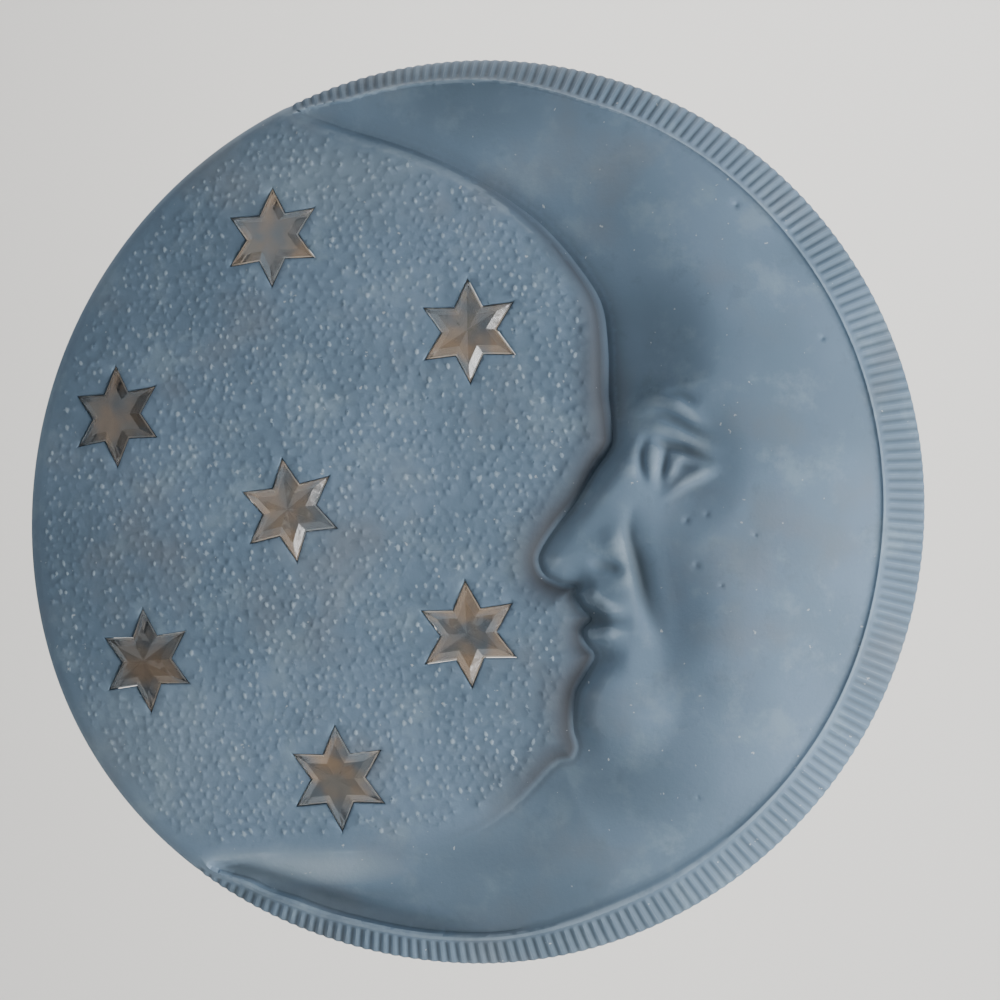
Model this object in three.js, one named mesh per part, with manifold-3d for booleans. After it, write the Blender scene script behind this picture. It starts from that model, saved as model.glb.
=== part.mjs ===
// Celestial wall plaque: a round casting of a crescent moon's face in profile looking over a starry sky
// disc, with a reeded rim along the crescent and seven clear six-pointed stars set into the sky.
// Millimetres, +Z up, the front faces -Y. The origin is on the hanging pad at the back, in the plane of
// the wall.
import * as THREE from "three";
import { mergeVertices } from "three/addons/utils/BufferGeometryUtils.js";
import Module from "manifold-3d";

const wasm = await Module();
wasm.setup();

// Overall sizes. The places of the carving and the stars are drawn on a pattern of this diameter, and spread
// with the plaque's.
const plaqueDiameter = 300;
const patternDiameter = 300;
const outlineBulge = 1.2;
const outlineBulgeAt = 208;
const hornInset = 1.3;
const hornInsetAt = 256;
const outlineWaveSpread = 22;

// Heights above the wall
const outerEdgeHeight = 4;
const skyEdgeHeight = 8;
const skyCrownHeight = 23.5;
const skyDomeReach = 110;
const skyEdgeRoll = 5;
const skyLipHeight = 4.6;
const crescentCrownHeight = 28;
const crescentDomeReach = 48;
const crescentFullWidth = 85;
const hornLip = 0.5;
// The power of the domes' curve: above 2 the crown is flatter than a round one
const domePower = 2.2;
// The power of the curves by which the crescent and the sky rise from the seam
const risePower = 2;

// Wall and back
const wallThickness = 6;
const wallEvening = 5;
const wallEveningAtSeam = 20;
const wallEveningReach = 30;
const hollowRimLeft = 9;
const hollowRimRight = 19;
const padDiameter = 34;
const padDrawnAt = [5, 111];
const nailHoleDiameter = 8;
const nailHoleDepth = 7;
const hangingPointBelowHole = 10;
const padRootDepth = 1;
const leastRoofHeight = 1;
// How far each cut runs past the plane of the wall
const cutPastWall = 1;

// Reeded rim: the tips of the band, in degrees anticlockwise from the right, and its flutes
const rimStart = 113.5;
const rimEnd = -126.5;
const flutePitch = 3.35;
const fluteDepth = 1;
const fluteOuterHeight = 5;
const beadRise = 0.7;
// At each angle: the width of the whole band, the width of the smooth bead along its inner edge, and the
// height of the band's inner edge, which sinks towards both horns
const rimBand = [
  { at: 113, width: 4.6, bead: 0.8, inner: 8 },
  { at: 105, width: 8, bead: 1, inner: 10.5 },
  { at: 88, width: 9.2, bead: 1, inner: 13 },
  { at: 70, width: 12, bead: 1.2, inner: 13.5 },
  { at: 30, width: 13.3, bead: 1.4, inner: 13.5 },
  { at: -6, width: 13.2, bead: 1.5, inner: 13.5 },
  { at: -35, width: 12.4, bead: 2, inner: 13.5 },
  { at: -66, width: 13.2, bead: 3.6, inner: 13.5 },
  { at: -86, width: 10, bead: 2.2, inner: 12 },
  { at: -101, width: 9.8, bead: 2.4, inner: 10.4 },
  { at: -112, width: 9, bead: 2.8, inner: 9.4 },
  { at: -119, width: 7.4, bead: 2.6, inner: 8.6 },
  { at: -126, width: 4, bead: 1.8, inner: 7 },
];
// The trough that runs beside the bead into the lower horn
const troughDepth = 4;
const troughWidth = 4.5;
const troughOffBead = 3;
const troughStart = -78;
const troughFull = -104;

// Stars: one size, set into openings of the same outline. Each leans to the left at its top by some degrees.
const starTipCount = 6;
const starRadius = 17;
const starNotchShare = 0.53;
const starTableShare = 0.66;
const starTableHeight = 1.3;
const starCrown = 1.8;
const starThickness = 5.5;
const starSink = 0.5;
const starGap = 0.3;
const starOpeningDepth = 9.5;
const starPlaces = [
  { name: "star_top_left", at: [-63, 90], lean: 3 },
  { name: "star_top_right", at: [4.9, 55.8], lean: 2 },
  { name: "star_far_left", at: [-117.1, 31.4], lean: 3.5 },
  { name: "star_centre", at: [-54.9, -1.7], lean: 9 },
  { name: "star_low_left", at: [-105.2, -50.5], lean: 4 },
  { name: "star_mid_right", at: [4.9, -42.7], lean: 4 },
  { name: "star_bottom", at: [-38.9, -89.2], lean: 2.5 },
];

// The seam is the line where the sky meets the crescent. It runs from the upper horn down the edge of the
// sky, along the face's profile and round to the lower horn. It is seen from one point of the sky, its
// pivot.
const pivotDrawnAt = [-60, -22];
const upperSkyEdge = [[-58.2, 135.1], [-41.2, 128.1], [-20, 120.4], [-2.7, 112.6], [14.5, 101.9],
  [27.9, 91.2], [39.5, 77.6], [47.1, 64.9], [49.2, 50.4], [49.5, 35.7], [50.9, 24.9]];
const noseLine = [[51, 18], [45.8, 10], [39.6, -0.6], [33.4, -8], [29, -14.4], [27.4, -18.8], [29.2, -23.6],
  [34.6, -26.6], [40, -27.8]];
const lipLine = [[39.4, -30], [41.2, -34.4], [44.6, -38], [42, -41.2], [42.2, -45], [45.4, -49.6]];
const chinLine = [[43.2, -54.9], [39.9, -60.5], [38.5, -67.2], [38.6, -73.6], [39.8, -79.2], [38, -83]];
const lowerSkyEdge = [[33.3, -84.3], [21, -96.4], [7.8, -105.9], [-10.5, -111.3], [-35.9, -113],
  [-56.2, -113.8], [-72.5, -114.7], [-84.9, -116.8]];

// How the relief falls to the seam in each stretch: the floor of the seam, the width of the sky's rounded
// edge and the width over which the crescent rises again, or in the lower horn sinks further
const seamStretches = [
  { from: 0, floor: 8, skyFall: 5, rise: 10 },
  { from: 0.12, floor: 11, skyFall: 5, rise: 24 },
  { from: 0.25, floor: 12.5, skyFall: 4.5, rise: 38 },
  { from: 0.355, floor: 13, skyFall: 5, rise: 38 },
  { from: 0.42, floor: 18.6, skyFall: 7, rise: 12 },
  { from: 0.46, floor: 20.2, skyFall: 9, rise: 9 },
  { from: 0.53, floor: 20, skyFall: 9.5, rise: 8 },
  { from: 0.6, floor: 19.2, skyFall: 11, rise: 8.5 },
  { from: 0.66, floor: 18.8, skyFall: 10, rise: 9 },
  { from: 0.8, floor: 17.2, skyFall: 7, rise: 32 },
  { from: 0.886, floor: 15.2, skyFall: 6, rise: 12 },
  { from: 0.95, floor: 12.6, skyFall: 5, rise: 9 },
  { from: 1, floor: 9, skyFall: 4, rise: 6 },
];

// Carving on the face: each ridge or groove follows a short line, from one end to the other, and fades at
// both. rise is its height over the face, below zero for a groove, and width the distance over which it
// fades sideways.
const faceLines = [
  { name: "nose", line: [[64.5, 30], [56, 8], [49.4, -6.1], [41.4, -20]], width: 15, rise: 5.2 },
  { name: "nostril wing", line: [[49.4, -7], [54.2, -15.6], [52.4, -22.6]], width: 5, rise: 1.2 },
  { name: "cheek fold", line: [[62.7, 2.4], [58.8, -5.2], [58.6, -12], [60.6, -20.6], [63, -32.1],
    [66.4, -42.6], [72.4, -54]], width: 3.6, rise: -2.2 },
  { name: "front of the cheek", line: [[68, 0], [64.6, -9], [64.8, -20], [68, -32], [73, -44], [80, -56]],
    width: 11, rise: -2.6 },
  { name: "brow", line: [[55.4, 26], [61.5, 31], [69.2, 31], [76.2, 27], [84, 21.6]], width: 3.4, rise: 2 },
  { name: "groove under the brow", line: [[61, 26.4], [68.7, 26.6], [77.2, 22], [85, 17.4]],
    width: 3, rise: -1.5 },
  { name: "upper lid", line: [[63.6, 22.4], [71.5, 21.4], [79, 18], [87.6, 14.2]], width: 2.8, rise: 1 },
  { name: "eye", line: [[63, 22], [64.6, 9], [70.4, 9.2], [78, 12.4], [86, 11]], width: 3, rise: -1.8 },
  { name: "lower lid", line: [[66.6, -1.6], [73.4, 3.6], [79.8, 6.9], [88, 9.6]], width: 2.8, rise: 1.5 },
  { name: "upper lip", line: [[39, -25.4], [47.6, -33.4], [58, -36.8]], width: 3.6, rise: 2.6 },
  { name: "mouth", line: [[40, -38], [51.8, -38.6], [60, -39.8]], width: 2.4, rise: -2.6 },
  { name: "lower lip", line: [[39, -42.2], [49.8, -42.8], [58, -43.2]], width: 3, rise: 2.2 },
  { name: "hollow under the lip", line: [[40, -49.4], [49, -50.2], [58, -51.6]], width: 5, rise: -2 },
];
// Rounded swellings and hollows of the face, each an oval with its half width and half height
const faceForms = [
  { name: "cheek", at: [94, -16], half: [38, 48], rise: 1.8 },
  { name: "mouth", at: [54, -38], half: [20, 26], rise: 2.4 },
  { name: "side of the nose", at: [52, -8.1], half: [14, 22], rise: -1.2 },
  { name: "eye socket", at: [73, 8], half: [26, 24], rise: -2.4 },
  { name: "eyeball", at: [76, 10], half: [12, 8], rise: 1.4 },
  { name: "chin", at: [52.5, -66], half: [22, 22], rise: 4 },
  { name: "jaw", at: [68, -72], half: [30, 28], rise: -1.8 },
  { name: "forehead", at: [62.4, 53.7], half: [28, 38], rise: -1.6 },
];
const faceSlope = 5;
const faceSlopeReach = 48;
const formPower = 2;
// Each line fades over this share of its length at both ends, and sideways it is cut off at this many widths
const lineFade = 0.45;
const lineCutOff = 2.5;

// How finely the surface is cut into flat faces
const skyRows = 16;
const rowSpacing = 1.9;
const plainRowSpacing = 8.4;
const leastRowTurn = 1.02;
const nearSkySteps = [0.55, 0.88, 0.975];
// The sky's last three rings before the outline, as shares of its rounded edge
const skyEdgeSteps = [0.2, 0.08, 0.02];
const nearSeamSteps = 15;
const nearSeamShare = 0.41;
const seamStepPower = 1.05;
const farSteps = 3;
const seamSamples = 10;
const faceLineSamples = 5;
const eveningSamples = 16;
const slopeStep = 2;
const reachPasses = 12;
const hollowSectors = 40;
const hollowRings = [0.2, 0.36, 0.5, 0.64, 0.78, 0.9, 1];
const padSides = 32;

const plaqueRadius = plaqueDiameter / 2;
const degrees = 180 / Math.PI;
const spread = plaqueDiameter / patternDiameter;
const seamPivot = onPlaque(pivotDrawnAt);
const padPlace = onPlaque(padDrawnAt);
const hollowRadius = plaqueRadius - (hollowRimLeft + hollowRimRight) / 2;
const hollowOffset = (hollowRimLeft - hollowRimRight) / 2;

// A place on the pattern, carried to the plaque.
function onPlaque([x, z]) {
  return [x * spread, z * spread];
}

function smooth(t) {
  const c = Math.min(Math.max(t, 0), 1);
  return c * c * (3 - 2 * c);
}

function mix(a, b, t) {
  return a + (b - a) * t;
}

function angleOf(x, z) {
  return Math.atan2(z, x) * degrees;
}

// Degrees brought into the half-open turn that starts at the given angle.
function turnFrom(angle, start) {
  return ((((angle - start) % 360) + 360) % 360) + start;
}

// The rows of a table read at a place between them, with every number in a row blended evenly.
function readTable(rows, key, place) {
  const rising = rows[rows.length - 1][key] > rows[0][key];
  const ordered = rising ? rows : [...rows].reverse();
  if (place <= ordered[0][key]) {
    return ordered[0];
  }
  for (let i = 1; i < ordered.length; i += 1) {
    if (place <= ordered[i][key]) {
      const low = ordered[i - 1];
      const high = ordered[i];
      const t = smooth((place - low[key]) / (high[key] - low[key]));
      const row = {};
      for (const name of Object.keys(low)) {
        row[name] = mix(low[name], high[name], t);
      }
      return row;
    }
  }
  return ordered[ordered.length - 1];
}

// The plaque's outline, a circle with the slight bulge and the slightly drawn-in horn of the real casting.
function outlineRadius(angle) {
  const wave = (at) => {
    const off = turnFrom(angle - at, -180) / outlineWaveSpread;
    return Math.exp(-off * off);
  };
  return plaqueRadius + outlineBulge * wave(outlineBulgeAt) - hornInset * wave(hornInsetAt);
}

function curvePoints(points, perSpan) {
  const knots = points.map(([x, z]) => new THREE.Vector3(x, 0, z));
  const curve = new THREE.CatmullRomCurve3(knots, false, "centripetal");
  return curve.getPoints((points.length - 1) * perSpan).map((p) => [p.x, p.z]);
}

function withLengths(line) {
  let length = 0;
  const along = line.map((p, i) => {
    if (i > 0) {
      length += Math.hypot(p[0] - line[i - 1][0], p[1] - line[i - 1][1]);
    }
    return length;
  });
  return { line, along, length };
}

// The nearest place on a line: how far off it is, and how far along it as a share of its length.
function nearestOn(path, x, z) {
  let best = { distance: Infinity, share: 0 };
  for (let i = 1; i < path.line.length; i += 1) {
    const [ax, az] = path.line[i - 1];
    const [bx, bz] = path.line[i];
    const dx = bx - ax;
    const dz = bz - az;
    const t = Math.min(Math.max(((x - ax) * dx + (z - az) * dz) / (dx * dx + dz * dz), 0), 1);
    const distance = Math.hypot(x - ax - t * dx, z - az - t * dz);
    if (distance < best.distance) {
      best = { distance, share: mix(path.along[i - 1], path.along[i], t) / path.length };
    }
  }
  return best;
}

const faceTop = onPlaque(upperSkyEdge[upperSkyEdge.length - 3])[1];
const faceFoot = onPlaque(lowerSkyEdge[0])[1];

const seam = withLengths(curvePoints(
  [...upperSkyEdge, ...noseLine, ...lipLine, ...chinLine, ...lowerSkyEdge].map(onPlaque),
  seamSamples,
));
const seamRays = seam.line.map(([x, z]) => {
  const dx = x - seamPivot[0];
  const dz = z - seamPivot[1];
  return { angle: angleOf(dx, dz), reach: Math.hypot(dx, dz) };
});
const seamTop = seamRays[0].angle;
const seamBottom = seamRays[seamRays.length - 1].angle;

// The distance from the pivot to the seam in a direction.
function seamReach(angle) {
  for (let i = 1; i < seamRays.length; i += 1) {
    const a = seamRays[i - 1];
    const b = seamRays[i];
    if ((a.angle - angle) * (b.angle - angle) <= 0 && a.angle !== b.angle) {
      return mix(a.reach, b.reach, (angle - a.angle) / (b.angle - a.angle));
    }
  }
  return 0;
}

// The distance from the pivot, in a direction, to the circle that lies the given inset inside the outline.
function outlineReach(angle, inset) {
  const dx = Math.cos(angle / degrees);
  const dz = Math.sin(angle / degrees);
  const along = seamPivot[0] * dx + seamPivot[1] * dz;
  const across = seamPivot[0] * dz - seamPivot[1] * dx;
  let radius = plaqueRadius;
  let reach = radius;
  for (let pass = 0; pass < reachPasses; pass += 1) {
    reach = Math.sqrt(radius * radius - across * across) - along;
    const at = angleOf(seamPivot[0] + dx * reach, seamPivot[1] + dz * reach);
    radius = outlineRadius(at) - inset(at);
  }
  return reach;
}

function rimAt(angle) {
  return readTable(rimBand, "at", turnFrom(angle, -180));
}

function isCrescent(x, z) {
  const dx = x - seamPivot[0];
  const dz = z - seamPivot[1];
  const angle = angleOf(dx, dz);
  return angle <= seamTop && angle >= seamBottom && Math.hypot(dx, dz) > seamReach(angle);
}

// The sky: a shallow dome whose edge rolls over to the outline.
function skyHeight(x, z) {
  const inward = Math.max(outlineRadius(angleOf(x, z)) - Math.hypot(x, z), 0);
  const dome = 1 - Math.pow(1 - Math.min(inward / skyDomeReach, 1), domePower);
  const roll = Math.sqrt(1 - Math.pow(1 - Math.min(inward / skyEdgeRoll, 1), 2));
  return mix(outerEdgeHeight, skyEdgeHeight, roll) + (skyCrownHeight - skyEdgeHeight) * dome;
}

// Ridges, grooves and rounded forms of the face, added up.
function faceCarving(x, z) {
  let height = 0;
  for (const form of faceForms) {
    const [formX, formZ] = onPlaque(form.at);
    const dx = (x - formX) / form.half[0];
    const dz = (z - formZ) / form.half[1];
    height += form.rise * Math.pow(Math.max(1 - dx * dx - dz * dz, 0), formPower);
  }
  for (const feature of facePaths) {
    const near = nearestOn(feature.path, x, z);
    const side = near.distance / feature.width;
    if (side < lineCutOff) {
      const fade = smooth(near.share / lineFade) * smooth((1 - near.share) / lineFade);
      height += feature.rise * Math.exp(-side * side) * fade;
    }
  }
  return height;
}

const facePaths = faceLines.map(({ line, width, rise }) => {
  return { path: withLengths(curvePoints(line.map(onPlaque), faceLineSamples)), width, rise };
});

// The crescent: a crowned band between the reeded rim and the seam, fullest across the face.
function crescentHeight(x, z, seamDistance) {
  const angle = angleOf(x, z);
  const { width, inner } = rimAt(angle);
  const inward = Math.max(outlineRadius(angle) - width - Math.hypot(x, z), 0);
  const offTrough = (inward - troughOffBead) / troughWidth;
  const troughShare = smooth((troughStart - turnFrom(angle, -180)) / (troughStart - troughFull));
  const trough = troughDepth * troughShare * Math.exp(-offTrough * offTrough);
  const fullness = smooth((inward + seamDistance) / crescentFullWidth);
  const dome = 1 - Math.pow(1 - Math.min(inward / crescentDomeReach, 1), domePower);
  const slope = faceSlope * (1 - smooth(seamDistance / faceSlopeReach));
  return inner + (crescentCrownHeight - inner) * dome * fullness - trough
    + (faceCarving(x, z) - slope) * fullness;
}

// The height of the front over the wall, inside the reeded rim.
function frontHeight(x, z, crescent) {
  const near = nearestOn(seam, x, z);
  const stretch = readTable(seamStretches, "from", near.share);
  if (crescent) {
    const open = crescentHeight(x, z, near.distance);
    const t = Math.min(near.distance / stretch.rise, 1);
    return mix(stretch.floor, open, 1 - Math.pow(1 - t, risePower));
  }
  const open = skyHeight(x, z);
  const t = Math.min(near.distance / stretch.skyFall, 1);
  return mix(Math.min(stretch.floor, open), open, 1 - Math.pow(1 - t, risePower));
}

// Mesh building

function geometryOf(points, faces) {
  const geometry = new THREE.BufferGeometry();
  geometry.setAttribute("position", new THREE.Float32BufferAttribute(points.flat(), 3));
  geometry.setIndex(faces.flat());
  return geometry;
}

function solidOf(geometry) {
  const bare = geometry.clone();
  bare.deleteAttribute("normal");
  bare.deleteAttribute("uv");
  const merged = mergeVertices(bare, 1e-4);
  return new wasm.Manifold(new wasm.Mesh({
    numProp: 3,
    vertProperties: merged.attributes.position.array,
    triVerts: new Uint32Array(merged.index.array),
  }));
}

function geometryFrom(solid) {
  const mesh = solid.getMesh();
  const geometry = new THREE.BufferGeometry();
  geometry.setAttribute("position", new THREE.Float32BufferAttribute(mesh.vertProperties, 3));
  geometry.setIndex([...mesh.triVerts]);
  return geometry;
}

// A closed body from rings round an axis: the first ring is joined to the centre point in front, each to
// the next, and the last to a centre point at the back. Rings run anticlockwise as seen from the front.
// Rings of equal length are joined point to point, and others by their points' angles round the middle of
// the plaque.
function bodyFromRings(rings, frontCentre, backCentre) {
  const points = [frontCentre];
  const starts = rings.map((ring) => {
    points.push(...ring);
    return points.length - ring.length;
  });
  points.push(backCentre);
  const faces = [];
  const first = rings[0].length;
  const last = rings[rings.length - 1].length;
  for (let i = 0; i < first; i += 1) {
    faces.push([0, 1 + i, 1 + ((i + 1) % first)]);
  }
  const back = points.length - 1;
  for (let i = 0; i < last; i += 1) {
    faces.push([back, back - last + ((i + 1) % last), back - last + i]);
  }
  for (let ring = 1; ring < rings.length; ring += 1) {
    faces.push(...stripBetween(rings[ring - 1], starts[ring - 1], rings[ring], starts[ring]));
  }
  return geometryOf(points, faces);
}

// Faces between two rings of equal length: each four-sided field is halved along its more level diagonal.
function alignedStrip(inner, innerStart, outer, outerStart) {
  const faces = [];
  for (let i = 0; i < inner.length; i += 1) {
    const j = (i + 1) % inner.length;
    const [a, b, c, d] = [innerStart + i, outerStart + i, outerStart + j, innerStart + j];
    if (Math.abs(inner[i][1] - outer[j][1]) < Math.abs(outer[i][1] - inner[j][1])) {
      faces.push([a, b, c], [a, c, d]);
    } else {
      faces.push([a, b, d], [b, c, d]);
    }
  }
  return faces;
}

// Faces between two rings of different length, taken in the order of their points' angles.
function stripBetween(inner, innerStart, outer, outerStart) {
  if (inner.length === outer.length) {
    return alignedStrip(inner, innerStart, outer, outerStart);
  }
  const turns = (ring) => ring.map(([x, , z]) => turnFrom(angleOf(x, z), rimEnd - 180));
  const [innerTurns, outerTurns] = [turns(inner), turns(outer)];
  const innerFrom = innerTurns.indexOf(Math.min(...innerTurns));
  const outerFrom = outerTurns.indexOf(Math.min(...outerTurns));
  const place = (ring, from, step) => (from + step) % ring.length;
  const turnAt = (ringTurns, from, step) => {
    if (step > ringTurns.length) {
      return Infinity;
    }
    return ringTurns[place(ringTurns, from, step)] + (step === ringTurns.length ? 360 : 0);
  };
  const faces = [];
  let i = 0;
  let j = 0;
  while (i < inner.length || j < outer.length) {
    const a = innerStart + place(inner, innerFrom, i);
    const b = outerStart + place(outer, outerFrom, j);
    if (turnAt(outerTurns, outerFrom, j + 1) <= turnAt(innerTurns, innerFrom, i + 1)) {
      j += 1;
      faces.push([a, b, outerStart + place(outer, outerFrom, j)]);
    } else {
      i += 1;
      faces.push([a, b, innerStart + place(inner, innerFrom, i)]);
    }
  }
  return faces;
}

// The directions of the rows, seen from the pivot: close along the face, wider elsewhere, with equal steps
// over the open sky on the left.
function rowAngles() {
  const angles = [];
  let since = Infinity;
  for (let i = 0; i < seamRays.length; i += 1) {
    const [x, z] = seam.line[i];
    const spacing = z < faceTop && z > faceFoot && x > 0 ? rowSpacing : plainRowSpacing;
    const final = i === seamRays.length - 1;
    const turned = angles.length === 0 || seamRays[i].angle < angles[angles.length - 1] - leastRowTurn;
    if (i > 0) {
      since += Math.hypot(x - seam.line[i - 1][0], z - seam.line[i - 1][1]);
    }
    if ((since >= spacing || final) && turned) {
      angles.push(seamRays[i].angle);
      since = 0;
    }
  }
  const left = 360 - (seamTop - seamBottom);
  for (let i = 1; i < skyRows; i += 1) {
    angles.push(seamBottom - (left * i) / skyRows);
  }
  return angles.reverse();
}

// One row of the front, from beside the pivot out to the crest of the rim's bead: its distances from the
// pivot.
function rowSteps(angle) {
  const facing = turnFrom(angle, -180);
  const crescent = facing <= seamTop && facing >= seamBottom;
  const edge = outlineReach(angle, () => 0);
  const seamAt = crescent ? seamReach(facing) : edge - skyEdgeRoll;
  const beadIn = outlineReach(angle, (at) => rimAt(at).width);
  const beadCrest = outlineReach(angle, (at) => rimAt(at).width - rimAt(at).bead / 2);
  const inner = crescent ? Math.max(beadIn, seamAt + hornLip) : edge - skyEdgeRoll * skyEdgeSteps[0];
  const crest = crescent ? Math.max(beadCrest, inner + hornLip) : edge - skyEdgeRoll * skyEdgeSteps[1];
  const steps = nearSkySteps.map((share) => share * seamAt);
  steps.push(seamAt);
  for (let i = 1; i <= nearSeamSteps; i += 1) {
    steps.push(mix(seamAt, inner, nearSeamShare * Math.pow(i / nearSeamSteps, seamStepPower)));
  }
  for (let i = 1; i <= farSteps; i += 1) {
    steps.push(mix(seamAt, inner, mix(nearSeamShare, 1, i / farSteps)));
  }
  steps.push(crest);
  return { steps, crescent };
}

// The rings that the front is made of, out to the crest of the bead.
function frontRings() {
  const rings = [];
  const seamRing = nearSkySteps.length;
  rowAngles().forEach((angle) => {
    const dx = Math.cos(angle / degrees);
    const dz = Math.sin(angle / degrees);
    const { steps, crescent } = rowSteps(angle);
    steps.forEach((reach, ring) => {
      const x = seamPivot[0] + dx * reach;
      const z = seamPivot[1] + dz * reach;
      const onCrest = crescent && ring === steps.length - 1;
      const height = onCrest
        ? rimAt(angleOf(x, z)).inner + beadRise
        : frontHeight(x, z, crescent && ring > seamRing);
      rings[ring] = rings[ring] ?? [];
      rings[ring].push([x, -height, z]);
    });
  });
  return rings;
}

// The edge of the plaque: fluted along the crescent, plain round the sky. Three rings: the inner ends of
// the flutes, their outer ends, and the foot on the wall.
function edgeRings() {
  const rings = [[], [], []];
  const add = (angle, radii, heights) => {
    const [dx, dz] = [Math.cos(angle / degrees), Math.sin(angle / degrees)];
    radii.forEach((radius, ring) => rings[ring].push([dx * radius, -heights[ring], dz * radius]));
  };
  const arc = rimStart - rimEnd;
  const stations = Math.round((arc / degrees) * plaqueRadius / flutePitch) * 2;
  for (let i = 0; i <= stations; i += 1) {
    const angle = rimEnd + (arc * i) / stations;
    const { width, bead, inner } = rimAt(angle);
    const cut = i % 2 === 0 ? fluteDepth : 0;
    const outer = outlineRadius(angle) - cut;
    const fluteEnd = outlineRadius(angle) - width + bead;
    add(angle, [fluteEnd, outer, outer], [inner, fluteOuterHeight - cut, 0]);
  }
  for (let i = 1; i < skyRows * 2; i += 1) {
    const angle = rimStart + ((360 - arc) * i) / (skyRows * 2);
    const outer = outlineRadius(angle);
    const lip = outer - skyEdgeRoll * skyEdgeSteps[2];
    add(angle, [lip, outer, outer], [skyLipHeight, outerEdgeHeight, 0]);
  }
  return rings;
}

function castingBody() {
  const [pivotX, pivotZ] = seamPivot;
  return solidOf(bodyFromRings(
    [...frontRings(), ...edgeRings()],
    [pivotX, -skyHeight(pivotX, pivotZ), pivotZ],
    [0, 0, 0],
  ));
}

// The lowest front height within the evening distance of a place, so that the wall keeps its thickness
// under slopes and over the valley beside the seam.
function lowestNear(x, z) {
  const offSeam = nearestOn(seam, x, z).distance / wallEveningReach;
  const evening = mix(wallEveningAtSeam, wallEvening, smooth(offSeam));
  let low = frontHeight(x, z, isCrescent(x, z));
  for (let i = 0; i < eveningSamples; i += 1) {
    const reach = i % 2 === 0 ? evening : evening / 2;
    const px = x + reach * Math.cos((i * 2 * Math.PI) / eveningSamples);
    const pz = z + reach * Math.sin((i * 2 * Math.PI) / eveningSamples);
    low = Math.min(low, frontHeight(px, pz, isCrescent(px, pz)));
  }
  return low;
}

function hollow() {
  const at = (share, sector) => {
    const angle = (sector / hollowSectors) * 2 * Math.PI;
    const reach = share * hollowRadius;
    return [hollowOffset + reach * Math.cos(angle), reach * Math.sin(angle)];
  };
  const sectors = [...Array(hollowSectors).keys()];
  const rings = hollowRings.map((share) => sectors.map((sector) => {
    const [x, z] = at(share, sector);
    return [x, -Math.max(lowestNear(x, z) - wallThickness, leastRoofHeight), z];
  }));
  rings.push(sectors.map((sector) => {
    const [x, z] = at(1, sector);
    return [x, cutPastWall, z];
  }));
  const roof = -(lowestNear(hollowOffset, 0) - wallThickness);
  return solidOf(bodyFromRings(rings, [hollowOffset, roof, 0], [hollowOffset, cutPastWall, 0]));
}

function roundBar(diameter, from, to) {
  const length = to - from;
  const bar = new THREE.CylinderGeometry(diameter / 2, diameter / 2, length, padSides);
  bar.translate(padPlace[0], -(from + length / 2), padPlace[1]);
  return solidOf(bar);
}

// Tips at full reach, with a notch between each two.
function starOutline(radius) {
  const corners = starTipCount * 2;
  return [...Array(corners).keys()].map((i) => {
    const angle = Math.PI * (0.5 + (2 * i) / corners);
    const reach = i % 2 === 0 ? radius : radius * starNotchShare;
    return [reach * Math.cos(angle), reach * Math.sin(angle)];
  });
}

// A straight-sided star in its own frame. Each ring of its front is a share of its reach and a height.
function starBody(radius, frontSteps, crown, back) {
  const ringAt = ([share, height]) => starOutline(radius * share).map(([x, z]) => [x, -height, z]);
  return bodyFromRings([...frontSteps, [1, back]].map(ringAt), [0, -crown, 0], [0, -back, 0]);
}

// The star's seat follows the slope of the sky at its centre, and has the star's own lean.
function starSeat({ at, lean }) {
  const [x, z] = onPlaque(at);
  const slopeX = (skyHeight(x + slopeStep, z) - skyHeight(x - slopeStep, z)) / (2 * slopeStep);
  const slopeZ = (skyHeight(x, z + slopeStep) - skyHeight(x, z - slopeStep)) / (2 * slopeStep);
  const outward = new THREE.Vector3(-slopeX, -1, -slopeZ).normalize();
  const seat = new THREE.Matrix4().makeRotationFromQuaternion(
    new THREE.Quaternion().setFromUnitVectors(new THREE.Vector3(0, -1, 0), outward),
  );
  seat.multiply(new THREE.Matrix4().makeRotationY(-lean / degrees));
  seat.setPosition(x, -skyHeight(x, z), z);
  return seat;
}

function starOpening(place) {
  const front = skyCrownHeight;
  const sides = starBody(starRadius + starGap * 2, [[1, front]], front, -starOpeningDepth);
  return solidOf(sides.applyMatrix4(starSeat(place)));
}

function casting() {
  let solid = castingBody().subtract(hollow());
  const padRoof = lowestNear(...padPlace) - padRootDepth;
  solid = solid.add(roundBar(padDiameter, 0, padRoof));
  solid = solid.subtract(roundBar(nailHoleDiameter, -cutPastWall, nailHoleDepth));
  for (const place of starPlaces) {
    solid = solid.subtract(starOpening(place));
  }
  return geometryFrom(solid);
}

const castStone = new THREE.MeshStandardMaterial({ color: 0x6e8292, roughness: 0.8, metalness: 0 });
const clearStar = new THREE.MeshStandardMaterial({ color: 0x9a8b7c, roughness: 0.12, metalness: 0 });

const plaque = new THREE.Group();
// The plaque's centre is below the hanging point, which lies on the pad's face under the nail hole.
plaque.position.set(-padPlace[0], 0, -(padPlace[1] - hangingPointBelowHole));

const moonCasting = new THREE.Mesh(casting(), castStone);
moonCasting.name = "moon_casting";
plaque.add(moonCasting);

for (const place of starPlaces) {
  const rings = [[starTableShare, starTableHeight], [1, -starSink]];
  const body = starBody(starRadius, rings, starCrown, -starThickness);
  const star = new THREE.Mesh(body.toNonIndexed(), clearStar);
  star.name = place.name;
  star.applyMatrix4(starSeat(place));
  plaque.add(star);
}

export default plaque;
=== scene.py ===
import bpy
import numpy as np
from mathutils import Matrix, Vector
from mathutils.geometry import delaunay_2d_cdt


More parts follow.
